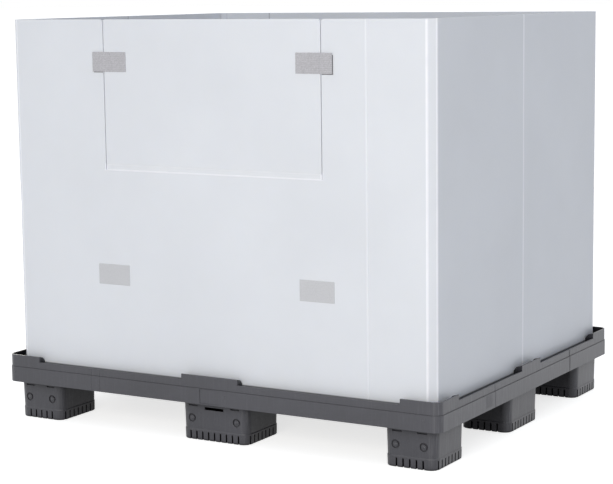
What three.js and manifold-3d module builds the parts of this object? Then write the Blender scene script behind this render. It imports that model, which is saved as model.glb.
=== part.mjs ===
// Plastic pallet box: a moulded pallet on nine feet, a sleeve folded from one sheet of board that
// stands in the pallet's rim, and a loading door in the sleeve's front wall that folds down.
// Millimetres. X runs along the front, Y from the front to the back, Z up. The origin is on the
// floor under the middle of the pallet.

import * as THREE from 'three';
import { mergeVertices } from 'three/addons/utils/BufferGeometryUtils.js';
import Module from 'manifold-3d';

const wasm = await Module();
wasm.setup();

// Pallet as a whole
const palletLength = 1200;
const palletWidth = 1000;
const planCorner = 22; // radius of the rim's corners, seen from above
const underHeight = 92; // floor to the lower edge of the rim, the room for the forks

// Rim round the pallet
const rimHeight = 55; // face of the rim between its tabs
const rimWall = 5;
const tabRise = 13; // the tabs stand this much above the rim
const cornerTab = 99; // reach of a corner tab along both of its sides
const longSideTab = 156; // length of the tab in the middle of the front and of the back
const shortSideTab = 110; // length of the tab in the middle of each end
const ledgeDrop = 17; // from the rim's top edge down to the ledge on its face
const ledgeStep = 1.5; // above the ledge the face is set back by this
const fieldLength = 52; // shallow field in the middle of the front and back faces
const fieldHeight = 34;
const fieldDepth = 1;

// Deck inside the rim
const deckWall = 5;
const channelDepth = 30; // from the rim's top edge down to the channel that the sleeve stands in
const plateauRise = 15; // the deck inside the sleeve stands this much above the channel
const plateauCorner = 30;
const ribWall = 4;
const ribPitchMost = 150; // widest pitch of the ribs under the deck
const gussetWall = 4;
const gussetPitchMost = 125; // widest pitch of the gussets that hold the sleeve off the rim
const gussetDrop = 9; // gussets between the tabs stop this much below the rim's top edge
const tabGussetSlope = 7.5; // a tab's end gusset is this much shallower at its top
const tabGussetFall = 3.5; // its top falls this much from the tab's wall to its inner end

// Feet
const footInset = 20; // from the rim's face in to the foot, at the foot's top
const cornerFootLength = 130; // along X
const centreFootLength = 184;
const outerFootWidth = 150; // along Y, in the front and back rows
const middleFootWidth = 176;
const footCorner = 22;
const footWall = 4;
const footDraft = 2.5; // each side leans in by this from top to floor
const bandHeight = 25; // thick slotted base of the foot
const bandProud = 1.2;
const baseChamfer = 1.5;
const footRibWall = 3;
const footRibHeight = 58;
const slotWidth = 4;
const slotHeight = 21;
const slotDepth = 9;
const slotPitch = 16.6;
const slotMarginFront = 24; // least room from the foot's corner to its last slot, front and back
const slotMarginSide = 16;
const lugDepth = 25; // lugs under the deck's ribs that the foot is pushed over
const lugClearance = 0.5;
const lugEndInset = 12; // the lug stops this much short of where the foot's corner starts
const ringInset = 30; // from the foot's side to the middle of a ring
const ringHeight = 52;
const ringOuter = 10.5;
const ringInner = 6.5;
const ringDepth = 2.4;
const latchLength = 52; // slot in the outer wall of the centre feet
const latchHeight = 6.5;
const latchMiddle = 78;
const latchPocket = 2; // the lug behind the slot is cut away this much wider and higher
const notchLength = 24; // notches just below the foot's top edge
const notchHeight = 3;
const notchInset = 34;
const notchDrop = 7.5; // from the foot's top edge down to a notch

// Sleeve
const overallHeight = 988;
const board = 9;
const sleeveClearance = 1.5; // sleeve to gussets, and sleeve to deck inside it
const gussetDepth = 18.5; // from the rim's wall in to the sleeve, less the clearance
const cornerLeg = 17; // each corner is folded twice, round a narrow slanted strip
const creaseWidth = 5;
const creaseDepth = 1;
const longWallCrease = 411; // fold in the front wall and, opposite, in the back wall

// Loading door
const doorHalf = 296;
const doorKerf = 2;
const doorCorner = 7;
const hingeHeight = 638;
const hingeBand = 13; // height of the crushed band that the door folds on
const hingeSeam = 0.3;
const hingeSkin = 3; // thickness of the board in that band
const hingeSink = 0.8; // the band lies this far below the board's outer face

// Hook-and-loop pieces
const strapInner = 232.5; // from the middle of the door to the strap's inner end
const strapOuter = 327;
const strapHeight = 46.5;
const strapDrop = 100.5; // from the door's top edge down to the middle of the straps
const strapThickness = 2.2;
const strapJog = 7; // length in which the strap rises from the door to the fixed wall's patch
const hookThickness = 1.6;
const hookGap = 0.3;
const hookMargin = 1.5; // the hook patch is this much smaller than the strap over it
const restInner = 236;
const restOuter = 326;
const restHeight = 49;
const restThickness = 1.8;
const restDrop = 9.5; // the rest patches sit this much lower than the folded door's straps
const foldedGap = 0.5; // folded door's straps to the rest patches

// Colours
const hdpe = { color: 0x58595c, roughness: 0.55, metalness: 0 };
const ppBoard = { color: 0xdfe4ec, roughness: 0.5, metalness: 0 };
const loopTape = { color: 0xb5b5b8, roughness: 0.95, metalness: 0 };
const hookTape = { color: 0xc6c7ca, roughness: 0.85, metalness: 0 };

// Heights and half sizes that follow
const rimTop = underHeight + rimHeight;
const tabTop = rimTop + tabRise;
const ledgeZ = rimTop - ledgeDrop;
const channelZ = rimTop - channelDepth;
const deckTop = channelZ + plateauRise;
const halfLength = palletLength / 2;
const halfWidth = palletWidth / 2;
const sleeveInset = rimWall + gussetDepth + sleeveClearance;
const sleeveLength = palletLength - 2 * sleeveInset;
const sleeveWidth = palletWidth - 2 * sleeveInset;
const faceY = -sleeveWidth / 2;
const strapMiddle = overallHeight - strapDrop;
const strapLift = hookThickness + hookGap;
const hingeProud = (strapLift + strapThickness + restThickness + foldedGap) / 2;
const overlap = 1; // how far joined shapes run into each other
const arcSteps = 3; // straight pieces in a rounded corner that is hardly seen
const rimArcSteps = 7;
const footArcSteps = 5;
const ringSides = 12;

// Turns a closed three.js geometry into a solid that can be joined and cut.
function solidFrom(geometry) {
  const bare = geometry.clone();
  bare.deleteAttribute('normal');
  bare.deleteAttribute('uv');
  const merged = mergeVertices(bare, 1e-4);
  return new wasm.Manifold(new wasm.Mesh({
    numProp: 3,
    vertProperties: new Float32Array(merged.attributes.position.array),
    triVerts: new Uint32Array(merged.index.array),
  }));
}

function geometryFrom(solid) {
  const mesh = solid.asOriginal().simplify(0.001).getMesh();
  const geometry = new THREE.BufferGeometry();
  geometry.setAttribute('position', new THREE.BufferAttribute(mesh.vertProperties, 3));
  geometry.setIndex(new THREE.BufferAttribute(mesh.triVerts, 1));
  geometry.computeVertexNormals();
  return geometry;
}

// A box given by its lowest and highest corners.
function block(low, high) {
  const size = high.map((value, i) => value - low[i]);
  const geometry = new THREE.BoxGeometry(...size);
  geometry.translate(...low.map((value, i) => value + size[i] / 2));
  return solidFrom(geometry);
}

// Points of a rectangle with rounded corners round (0, 0), counter-clockwise.
function roundedOutline(length, width, radius, steps = arcSteps) {
  const points = [];
  const centres = [[1, 1], [-1, 1], [-1, -1], [1, -1]];
  centres.forEach(([sx, sy], quarter) => {
    for (let step = 0; step <= steps; step += 1) {
      const angle = (quarter + step / steps) * Math.PI / 2;
      points.push(new THREE.Vector2(
        sx * (length / 2 - radius) + radius * Math.cos(angle),
        sy * (width / 2 - radius) + radius * Math.sin(angle),
      ));
    }
  });
  return points;
}

// An upright prism on an outline, with an optional hole.
function prism(outline, hole, low, high) {
  const shape = new THREE.Shape(outline);
  if (hole) shape.holes.push(new THREE.Path(hole));
  const geometry = new THREE.ExtrudeGeometry(shape, { depth: high - low, bevelEnabled: false });
  geometry.translate(0, 0, low);
  return solidFrom(geometry);
}

// A profile of (depth, height) points, pushed along X from low to high.
function profileAlongX(points, low, high) {
  const shape = new THREE.Shape(points.map(([depth, height]) => new THREE.Vector2(depth, height)));
  const geometry = new THREE.ExtrudeGeometry(shape, { depth: high - low, bevelEnabled: false });
  const toX = new THREE.Matrix4().makeBasis(
    new THREE.Vector3(0, 1, 0), new THREE.Vector3(0, 0, 1), new THREE.Vector3(1, 0, 0),
  );
  geometry.applyMatrix4(toX);
  geometry.translate(low, 0, 0);
  return solidFrom(geometry);
}

// A profile of (x, z) points, pushed along Y from low to high.
function profileAlongY(shape, low, high) {
  const geometry = new THREE.ExtrudeGeometry(shape, { depth: high - low, bevelEnabled: false,
    curveSegments: arcSteps });
  geometry.rotateX(Math.PI / 2);
  geometry.translate(0, high, 0);
  return solidFrom(geometry);
}

// A closed solid through rounded rectangles of equal point count, from the lowest to the highest.
function loft(levels, steps = arcSteps) {
  const positions = [];
  const faces = [];
  const rings = levels.map(({ length, width, radius, z }) => (
    roundedOutline(length, width, radius, steps).map((point) => [point.x, point.y, z])));
  const count = rings[0].length;
  rings.flat().forEach((point) => positions.push(...point));
  for (let ring = 0; ring + 1 < rings.length; ring += 1) {
    for (let i = 0; i < count; i += 1) {
      const a = ring * count + i;
      const b = ring * count + (i + 1) % count;
      faces.push(a, b, b + count, a, b + count, a + count);
    }
  }
  const topStart = (rings.length - 1) * count;
  for (let i = 1; i + 1 < count; i += 1) {
    faces.push(0, i + 1, i);
    faces.push(topStart, topStart + i, topStart + i + 1);
  }
  const geometry = new THREE.BufferGeometry();
  geometry.setAttribute('position', new THREE.Float32BufferAttribute(positions, 3));
  geometry.setIndex(faces);
  return solidFrom(geometry);
}

function joined(solids) {
  return wasm.Manifold.union(solids);
}

function turned(solid, quarters) {
  return solid.rotate([0, 0, 90 * quarters]);
}

// The four sides of the pallet, each drawn as the front is and turned into place: face is the
// distance of the side from the middle, run is half of the side's length.
const sides = [
  { quarters: 0, face: halfWidth, run: halfLength, tab: longSideTab },
  { quarters: 1, face: halfLength, run: halfWidth, tab: shortSideTab },
  { quarters: 2, face: halfWidth, run: halfLength, tab: longSideTab },
  { quarters: 3, face: halfLength, run: halfWidth, tab: shortSideTab },
];

// Cuts each span between neighbouring marks into equal steps no longer than the given pitch.
function spreadBetween(marks, pitchMost) {
  const places = [];
  for (let i = 0; i + 1 < marks.length; i += 1) {
    const span = marks[i + 1] - marks[i];
    const steps = Math.ceil(span / pitchMost);
    for (let step = 1; step <= steps; step += 1) places.push(marks[i] + span * step / steps);
  }
  places.pop();
  return places;
}

// Feet: where each stands and how big it is at its top.
const rows = [
  { row: 'front', y: -(halfWidth - footInset - outerFootWidth / 2), width: outerFootWidth, turn: 0 },
  { row: 'middle', y: 0, width: middleFootWidth, turn: 0 },
  { row: 'back', y: halfWidth - footInset - outerFootWidth / 2, width: outerFootWidth, turn: 2 },
];
const cornerFootX = halfLength - footInset - cornerFootLength / 2;
const columns = [
  { column: 'left', x: -cornerFootX, length: cornerFootLength },
  { column: 'centre', x: 0, length: centreFootLength },
  { column: 'right', x: cornerFootX, length: cornerFootLength },
];
const feet = rows.flatMap((row) => columns.map((column) => ({ ...row, ...column })));
const lugInset = footWall + footDraft * lugDepth / underHeight + lugClearance;

// Rim

function rimBand(setBack, low, high) {
  const outer = roundedOutline(palletLength - 2 * setBack, palletWidth - 2 * setBack,
    planCorner - setBack, rimArcSteps);
  const inner = roundedOutline(palletLength - 2 * rimWall, palletWidth - 2 * rimWall,
    planCorner - rimWall, rimArcSteps);
  return prism(outer, inner, low, high);
}

// The spaces between the tabs of one side, cut out of the upper band.
function tabSpaces({ quarters, face, run, tab }) {
  return [-1, 1].map((hand) => {
    const ends = [hand * tab / 2, hand * (run - cornerTab)].sort((a, b) => a - b);
    const space = block(
      [ends[0], -face - overlap, rimTop],
      [ends[1], -face + rimWall + overlap, tabTop + overlap],
    );
    return turned(space, quarters);
  });
}

// Upright gussets between the rim and the sleeve: one at each tab end, and more between them.
function gussets({ quarters, face, run, tab }) {
  const inner = -face + rimWall - overlap;
  const reach = -face + rimWall + gussetDepth;
  const foot = channelZ - overlap;
  const atTab = [[inner, foot], [reach, foot], [reach, rimTop], 
    [reach - tabGussetSlope, tabTop - tabGussetFall], [inner, tabTop]];
  const between = [[inner, foot], [reach, foot], [reach, rimTop - gussetDrop],
    [inner, rimTop - gussetDrop]];
  const made = [];
  [-1, 1].forEach((hand) => {
    const tabEnds = [tab / 2 - gussetWall / 2, run - cornerTab + gussetWall / 2];
    tabEnds.forEach((place) => {
      const middle = hand * place;
      made.push(profileAlongX(atTab, middle - gussetWall / 2, middle + gussetWall / 2));
    });
    spreadBetween(tabEnds, gussetPitchMost).forEach((place) => {
      const middle = hand * place;
      made.push(profileAlongX(between, middle - gussetWall / 2, middle + gussetWall / 2));
    });
  });
  return made.map((solid) => turned(solid, quarters));
}

// A shallow field in the middle of the front and back faces, under the ledge.
function faceFields() {
  const top = ledgeZ - fieldDepth;
  const field = block(
    [-fieldLength / 2, -halfWidth - overlap, top - fieldHeight],
    [fieldLength / 2, -halfWidth + fieldDepth, top],
  );
  return [field, turned(field, 2)];
}

// Deck

function ribGrid() {
  const lugLine = lugInset + ribWall / 2;
  const footX = cornerFootLength / 2 - lugLine;
  const centreX = centreFootLength / 2 - lugLine;
  const outerY = outerFootWidth / 2 - lugLine;
  const middleY = middleFootWidth / 2 - lugLine;
  const rowY = halfWidth - footInset - outerFootWidth / 2;
  const marksX = [-cornerFootX - footX, -cornerFootX + footX, -centreX,
    centreX, cornerFootX - footX, cornerFootX + footX];
  const marksY = [-rowY - outerY, -rowY + outerY, -middleY, middleY, rowY - outerY, rowY + outerY];
  const linesX = [marksX[0], ...spreadBetween(marksX, ribPitchMost), marksX[marksX.length - 1]];
  const linesY = [marksY[0], ...spreadBetween(marksY, ribPitchMost), marksY[marksY.length - 1]];
  const endX = halfLength - rimWall + overlap;
  const endY = halfWidth - rimWall + overlap;
  const top = deckTop - deckWall + overlap;
  const alongY = linesX.map((x) => block([x - ribWall / 2, -endY, underHeight],
    [x + ribWall / 2, endY, top]));
  const alongX = linesY.map((y) => block([-endX, y - ribWall / 2, underHeight],
    [endX, y + ribWall / 2, top]));
  const grid = joined([...alongY, ...alongX]);
  return grid.intersect(joined([plateau(0, underHeight, top), channelSlab(underHeight)]));
}

// The raised deck inside the sleeve, or a smaller copy of it for the hollow below.
function plateau(inset, low, high) {
  const shrink = 2 * (board + sleeveClearance + inset);
  const outline = roundedOutline(sleeveLength - shrink, sleeveWidth - shrink, plateauCorner - inset);
  return prism(outline, null, low, high);
}

function channelSlab(low) {
  const shrink = 2 * (rimWall - overlap);
  const outline = roundedOutline(palletLength - shrink, palletWidth - shrink,
    planCorner - rimWall + overlap, rimArcSteps);
  return prism(outline, null, low, channelZ);
}

// The lugs that go down inside one foot, each in line with a rib above it.
function footLugs({ x, y, length, width }) {
  const halfX = length / 2 - lugInset;
  const halfY = width / 2 - lugInset;
  const alongX = length / 2 - footCorner - lugEndInset;
  const alongY = width / 2 - footCorner - lugEndInset;
  const low = underHeight - lugDepth;
  const high = underHeight + overlap;
  return [-1, 1].flatMap((hand) => {
    const [nearX, farX] = [hand * halfX, hand * (halfX - ribWall)].sort((a, b) => a - b);
    const [nearY, farY] = [hand * halfY, hand * (halfY - ribWall)].sort((a, b) => a - b);
    return [
      block([x + nearX, y - alongY, low], [x + farX, y + alongY, high]),
      block([x - alongX, y + nearY, low], [x + alongX, y + farY, high]),
    ];
  });
}

// Notches in the lugs behind the latch slots of the front and back centre feet.
function latchPockets() {
  const half = latchLength / 2 + latchPocket;
  const pocket = block([-half, -halfWidth, underHeight - lugDepth - overlap],
    [half, -halfWidth + footInset + lugInset + ribWall + overlap,
      latchMiddle + latchHeight / 2 + latchPocket]);
  return [pocket, turned(pocket, 2)];
}

function makeDeck() {
  const spaces = joined(sides.flatMap(tabSpaces));
  const rim = joined([
    rimBand(0, underHeight, ledgeZ),
    rimBand(ledgeStep, ledgeZ - overlap, tabTop).subtract(spaces),
    ...sides.flatMap(gussets),
  ]).subtract(joined(faceFields()));
  const tray = joined([
    channelSlab(channelZ - deckWall),
    plateau(0, channelZ - deckWall, deckTop),
  ]).subtract(plateau(deckWall, underHeight, deckTop - deckWall));
  const lugs = joined(feet.flatMap(footLugs)).subtract(joined(latchPockets()));
  return joined([rim, tray, ribGrid(), lugs]);
}

// Feet

// How far the foot's outer face lies inside its top outline at a height.
function footLean(z) {
  const lean = footDraft * (underHeight - z) / underHeight;
  return z < bandHeight ? lean - bandProud : lean;
}

function footLevel({ length, width }, z, inset) {
  return { length: length - 2 * inset, width: width - 2 * inset, radius: footCorner - inset, z };
}

function footShell(size) {
  const ledge = bandHeight + bandProud;
  return loft([
    footLevel(size, 0, footLean(0) + baseChamfer),
    footLevel(size, baseChamfer, footLean(baseChamfer)),
    footLevel(size, bandHeight, footLean(bandHeight) - bandProud),
    footLevel(size, ledge, footLean(ledge)),
    footLevel(size, underHeight, footLean(underHeight)),
  ], footArcSteps);
}

function footHollow(size) {
  return loft([bandHeight, underHeight + overlap].map((z) => (
    footLevel(size, z, footWall + footDraft * (underHeight - z) / underHeight))));
}

function footRibs({ length, width }) {
  const halfX = length / 2 - footWall;
  const halfY = width / 2 - footWall;
  const half = footRibWall / 2;
  const low = bandHeight - overlap;
  return [
    block([-halfX, -half, low], [halfX, half, footRibHeight]),
    block([-half, -halfY, low], [half, halfY, footRibHeight]),
  ];
}

// Slots in the base, open at the floor, on all four sides.
function bandSlots({ length, width }) {
  const row = (face, count) => Array.from({ length: count }, (unused, i) => {
    const middle = (i - (count - 1) / 2) * slotPitch;
    return block([middle - slotWidth / 2, -face - overlap, -overlap],
      [middle + slotWidth / 2, -face + slotDepth, slotHeight]);
  });
  const countX = Math.floor((length - 2 * slotMarginFront) / slotPitch) + 1;
  const countY = Math.floor((width - 2 * slotMarginSide) / slotPitch) + 1;
  return [0, 2].flatMap((quarters) => [
    ...row(width / 2, countX).map((slot) => turned(slot, quarters)),
    ...row(length / 2, countY).map((slot) => turned(slot, quarters + 1)),
  ]);
}

// A round groove in the outer face of a front or back foot.
function faceRing(x, face) {
  const circle = (radius) => Array.from({ length: ringSides }, (unused, i) => {
    const angle = i / ringSides * 2 * Math.PI;
    return new THREE.Vector2(radius * Math.cos(angle), radius * Math.sin(angle));
  });
  const groove = prism(circle(ringOuter), circle(ringInner), 0, ringDepth + footDraft + overlap);
  const sunk = -face + ringDepth + footLean(ringHeight);
  return groove.rotate([90, 0, 0]).translate([x, sunk, ringHeight]);
}

// What the outer wall of a front or back foot has: two rings, and notches near its top edge.
function outerWallCuts({ length, width, column }) {
  const face = width / 2;
  const cuts = [];
  [-1, 1].forEach((hand) => {
    cuts.push(faceRing(hand * (length / 2 - ringInset), face));
    const notch = hand * (length / 2 - notchInset);
    cuts.push(block(
      [notch - notchLength / 2, -face - overlap, underHeight - notchDrop - notchHeight],
      [notch + notchLength / 2, -face + footWall - overlap, underHeight - notchDrop],
    ));
  });
  if (column === 'centre') {
    cuts.push(block([-latchLength / 2, -face - overlap, latchMiddle - latchHeight / 2],
      [latchLength / 2, -face + footWall + footDraft, latchMiddle + latchHeight / 2]));
  }
  return cuts;
}

function makeFoot(foot) {
  const shell = footShell(foot).subtract(footHollow(foot));
  const cuts = bandSlots(foot);
  if (foot.row !== 'middle') cuts.push(...outerWallCuts(foot));
  return joined([shell, ...footRibs(foot)]).subtract(joined(cuts));
}

// Sleeve

// The sleeve's plan at a depth below its outer face: four walls joined by slanted corner strips.
function sleevePlan(depth) {
  const x = sleeveLength / 2 - depth;
  const y = sleeveWidth / 2 - depth;
  const leg = cornerLeg - depth * (2 - Math.SQRT2);
  return [[x, -y + leg], [x, y - leg], [x - leg, y], [-x + leg, y],
    [-x, y - leg], [-x, -y + leg], [-x + leg, -y], [x - leg, -y]]
    .map(([px, py]) => new THREE.Vector2(px, py));
}

// A vertical fold: a shallow groove down both faces of the wall, drawn for the front wall.
function foldGrooves(place, face, height) {
  const triangle = (outside, inside) => [[place - creaseWidth / 2, outside],
    [place + creaseWidth / 2, outside], [place, inside]]
    .map(([px, py]) => new THREE.Vector2(px, py));
  const outer = triangle(-face - 0.01, -face + creaseDepth);
  const inner = triangle(-face + board + 0.01, -face + board - creaseDepth);
  return [outer, inner].map((points) => prism(points, null, -overlap, height + overlap));
}

// The opening for the door, from the hinge line up past the sleeve's top, with its two top
// corners rounded over.
function doorwayShape(low, top) {
  const half = doorHalf + doorKerf;
  const shape = new THREE.Shape();
  shape.moveTo(-half, low);
  shape.lineTo(half, low);
  shape.lineTo(half, top - doorCorner);
  shape.absarc(half + doorCorner, top - doorCorner, doorCorner, Math.PI, Math.PI / 2, true);
  shape.lineTo(half + doorCorner, top + overlap);
  shape.lineTo(-half - doorCorner, top + overlap);
  shape.lineTo(-half - doorCorner, top);
  shape.absarc(-half - doorCorner, top - doorCorner, doorCorner, Math.PI / 2, 0, true);
  return shape;
}

// The two strips removed from the board to leave the thin band that folds, outside and inside.
function hingeReliefs(half, low, high) {
  return [
    block([-half, faceY - overlap, low], [half, faceY + hingeSink, high]),
    block([-half, faceY + hingeSink + hingeSkin, low], [half, faceY + board + overlap, high]),
  ];
}

function makeSleeve() {
  const height = overallHeight - channelZ;
  const hinge = hingeHeight - channelZ;
  const wall = prism(sleevePlan(0), sleevePlan(board), 0, height);
  const doorway = profileAlongY(doorwayShape(hinge - hingeSeam / 2, height),
    faceY - overlap, faceY + board + overlap);
  const folds = [
    ...foldGrooves(longWallCrease, sleeveWidth / 2, height),
    ...foldGrooves(longWallCrease, sleeveWidth / 2, height).map((solid) => turned(solid, 2)),
    ...foldGrooves(0, sleeveLength / 2, height).map((solid) => turned(solid, 1)),
    ...foldGrooves(0, sleeveLength / 2, height).map((solid) => turned(solid, 3)),
  ];
  const reliefs = hingeReliefs(doorHalf + doorKerf, hinge - hingeBand / 2, hinge + overlap);
  return wall.subtract(joined([doorway, ...folds, ...reliefs]));
}

// Loading door, drawn with the hinge line at z = 0

function makeDoor() {
  const top = overallHeight - hingeHeight;
  const shape = new THREE.Shape();
  shape.moveTo(-doorHalf, hingeSeam / 2);
  shape.lineTo(doorHalf, hingeSeam / 2);
  shape.lineTo(doorHalf, top - doorCorner);
  shape.absarc(doorHalf - doorCorner, top - doorCorner, doorCorner, 0, Math.PI / 2, false);
  shape.lineTo(-doorHalf + doorCorner, top);
  shape.absarc(-doorHalf + doorCorner, top - doorCorner, doorCorner, Math.PI / 2, Math.PI, false);
  const panel = profileAlongY(shape, faceY, faceY + board);
  return panel.subtract(joined(hingeReliefs(doorHalf + overlap, -overlap, hingeBand / 2)));
}

// Hook-and-loop pieces

// A strap glued to the door that reaches over the gap onto the fixed wall, drawn from above:
// it lies on the door, rises in a short jog and ends raised by the hook patch under it.
function makeStrap(hand) {
  const edge = doorHalf + doorKerf;
  const under = [[strapInner, 0], [edge - strapJog, 0], [edge, strapLift], [strapOuter, strapLift]];
  const over = under.map(([x, out]) => [x, out + strapThickness]).reverse();
  const outline = [...under, ...over]
    .map(([x, out]) => new THREE.Vector2(hand * x, faceY - out));
  return prism(outline, null, strapMiddle - strapHeight / 2, strapMiddle + strapHeight / 2);
}

// A flat patch glued to the sleeve's front face.
function patch(hand, inner, outer, middle, height, thickness) {
  const ends = [hand * inner, hand * outer].sort((a, b) => a - b);
  return block([ends[0], faceY - thickness, middle - height / 2],
    [ends[1], faceY, middle + height / 2]);
}

// The box, put together

const palletBox = new THREE.Group();

function place(name, solid, look, parent = palletBox) {
  const mesh = new THREE.Mesh(geometryFrom(solid), new THREE.MeshStandardMaterial(look));
  mesh.name = name;
  parent.add(mesh);
  return mesh;
}

place('pallet_deck', makeDeck(), hdpe);
feet.forEach((foot) => {
  const mesh = place(`foot_${foot.row}_${foot.column}`, turned(makeFoot(foot), foot.turn), hdpe);
  mesh.position.set(foot.x, foot.y, 0);
});
place('sleeve', makeSleeve(), ppBoard).position.set(0, 0, channelZ);

// The door and its straps hang in a group whose origin is on the line that the door folds about.
// That line lies a little in front of the wall, so that the folded door clears the rest patches.
const hingeY = faceY - hingeProud;
const door = new THREE.Group();
door.position.set(0, hingeY, hingeHeight);
palletBox.add(door);
place('loading_door', makeDoor(), ppBoard, door).position.set(0, -hingeY, 0);

const restMiddle = 2 * hingeHeight - strapMiddle - restDrop;
[['left', -1], ['right', 1]].forEach(([side, hand]) => {
  place(`strap_${side}`, makeStrap(hand), loopTape, door).position.set(0, -hingeY, -hingeHeight);
  place(`strap_hook_${side}`, patch(hand, doorHalf + doorKerf + hookMargin, strapOuter - hookMargin,
    strapMiddle, strapHeight - 2 * hookMargin, hookThickness), hookTape);
  place(`rest_patch_${side}`, patch(hand, restInner, restOuter, restMiddle, restHeight,
    restThickness), hookTape);
});

export default palletBox;
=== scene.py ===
"""Looks of the plastic pallet box: moulded pallet, folded board sleeve, loading door and its tapes.

Lengths in the code are millimetres, turned to metres when a mesh is made. X runs along the front,
Y from the front to the back, Z up, as in the frame.
"""
import math
import random

import bmesh
import bpy
from bpy.props import FloatProperty, FloatVectorProperty, PointerProperty
from mathutils import Matrix, Vector


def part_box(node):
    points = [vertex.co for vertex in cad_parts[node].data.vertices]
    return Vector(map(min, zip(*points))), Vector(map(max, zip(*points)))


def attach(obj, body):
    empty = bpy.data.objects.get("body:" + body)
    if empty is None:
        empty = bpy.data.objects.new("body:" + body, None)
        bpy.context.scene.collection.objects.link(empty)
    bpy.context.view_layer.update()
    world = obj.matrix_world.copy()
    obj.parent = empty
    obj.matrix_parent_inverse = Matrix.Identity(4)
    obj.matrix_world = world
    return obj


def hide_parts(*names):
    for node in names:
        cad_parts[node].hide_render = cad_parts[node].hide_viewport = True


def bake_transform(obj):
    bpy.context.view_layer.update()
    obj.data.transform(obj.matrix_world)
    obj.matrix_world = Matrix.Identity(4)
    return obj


bl_info = {
    "name": "Plastic pallet box",
    "version": (1, 0, 0),
    "blender": (4, 5, 0),
    "location": "View3D > Sidebar > Pallet box",
    "description": "Dresses the pallet box frame with moulded pallet, board sleeve, door and tapes",
    "category": "Object",
}

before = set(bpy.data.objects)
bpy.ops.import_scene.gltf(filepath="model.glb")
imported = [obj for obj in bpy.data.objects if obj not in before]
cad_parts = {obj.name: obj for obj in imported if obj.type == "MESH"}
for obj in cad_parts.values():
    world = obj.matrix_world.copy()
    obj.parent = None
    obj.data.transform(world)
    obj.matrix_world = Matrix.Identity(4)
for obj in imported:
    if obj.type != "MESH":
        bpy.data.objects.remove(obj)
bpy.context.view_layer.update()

MM = 0.001


def frame_mm(node):
    """Lowest and highest corner of a frame node, in millimetres."""
    return [[value / MM for value in corner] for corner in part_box(node)]


SLEEVE = frame_mm("sleeve")
DOOR = frame_mm("loading_door")
DECK = frame_mm("pallet_deck")
STRAP = {side: frame_mm(f"strap_{side}") for side in ("left", "right")}
HOOKS = {side: frame_mm(f"strap_hook_{side}") for side in ("left", "right")}
RESTS = {side: frame_mm(f"rest_patch_{side}") for side in ("left", "right")}
FEET = [f"foot_{row}_{column}" for row in ("front", "middle", "back")
        for column in ("left", "centre", "right")]

BOARD = 9.0  # thickness of the sleeve's board
CORNER_LEG = 17.0  # each corner's slanted strip takes this much of both walls
FOLD_LINE = 411.0  # fold in the front wall to the right, and in the back wall to the left
DOORWAY_HALF = 298.0
BAND_LOW, BAND_HIGH = 631.5, 644.5  # crushed band that the door folds on
BAND_SINK = 0.8
BAND_SKIN = 3.0
BAND_END_LINE = 3.0  # the band is white this far in from its ends
FOLD_RADIUS = 3.0  # round of the outer face at a corner fold
FOLD_REACH = FOLD_RADIUS * math.tan(math.pi / 8)
CREASE_HALF = 2.5  # half the width of the groove along a crease in a wall
CREASE_WHITE = {"front": 0.22, "back": 0.35, "left": 1.3, "right": 1.3}
STRIP_WHITE = 0.16  # the strips between the corner folds are bent throughout
WALL_LEVELS = [700, 760, 820, 880, 940]  # heights, past the door's band, that need points
STRAP_THICKNESS = 2.2
STRAP_LIFT = 1.9  # the straps' free ends are raised by the hook patches under them
STRAP_JOG_FROM, STRAP_JOG = 290.5, 7.0  # where they start to rise, and over what length
PATCH_SHADOW_BELOW, PATCH_SHADOW_BESIDE = 3.2, 2.4  # how far the dark hook patches show past the straps, as painted shadow under them
LEDGE, LEDGE_INSET = 129.5, 1.5  # line round the rim, above which its face lies further in
FOOT_HEIGHT, FOOT_LEAN = 92, 2.5  # the feet narrow towards the deck
SOCKET_HEIGHT, SOCKET_INSET = 52, 30
FLOOR_REACH = 90000.0
CAMERA_ANGLES = (30.421, 7.935, -0.695)  # azimuth from the front, height and roll, in degrees


# Small tools for nodes and meshes

def linear(hex_colour):
    """Linear RGBA of an sRGB hex colour such as 'd9dde4'."""
    values = [int(hex_colour[i:i + 2], 16) / 255 for i in (0, 2, 4)]
    return [v / 12.92 if v <= 0.04045 else ((v + 0.055) / 1.055) ** 2.4 for v in values] + [1.0]


def add_node(tree, kind, inputs=None, **settings):
    """Adds a node, sets its properties, and fills or links its inputs."""
    node = tree.nodes.new(kind)
    for key, value in settings.items():
        setattr(node, key, value)
    for key, value in (inputs or {}).items():
        if isinstance(value, bpy.types.NodeSocket):
            tree.links.new(value, node.inputs[key])
        else:
            node.inputs[key].default_value = value
    return node


def grey_ramp(tree, value, low, high):
    """A value turned into a grey that rises from 0 at low to 1 at high."""
    node = add_node(tree, "ShaderNodeValToRGB", {"Fac": value})
    for element, position in zip(node.color_ramp.elements, (low, high)):
        element.position = position
    return node.outputs["Color"]


def mix_colours(tree, factor, first, second):
    """First colour where factor is 0, second where it is 1; each a colour or a socket."""
    return add_node(tree, "ShaderNodeMix", {"Factor": factor, 6: first, 7: second},
                    data_type="RGBA").outputs[2]


def tinted(tree, colour, strength):
    """A colour made lighter or darker by a socket."""
    return add_node(tree, "ShaderNodeVectorMath", {0: colour[:3], "Scale": strength},
                    operation="SCALE").outputs[0]


def remap(tree, value, source, target):
    """A value carried from one range to another, clamped at the target's ends."""
    return add_node(tree, "ShaderNodeMapRange",
                    {"Value": value, "From Min": source[0], "From Max": source[1],
                     "To Min": target[0], "To Max": target[1]}).outputs[0]


def blank_material(name):
    """A node material with nothing but a shader and an output."""
    material = bpy.data.materials.new(name)
    material.use_nodes = True
    tree = material.node_tree
    tree.nodes.clear()
    shader = add_node(tree, "ShaderNodeBsdfPrincipled")
    add_node(tree, "ShaderNodeOutputMaterial", {"Surface": shader.outputs[0]})
    return material, tree, shader


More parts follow.
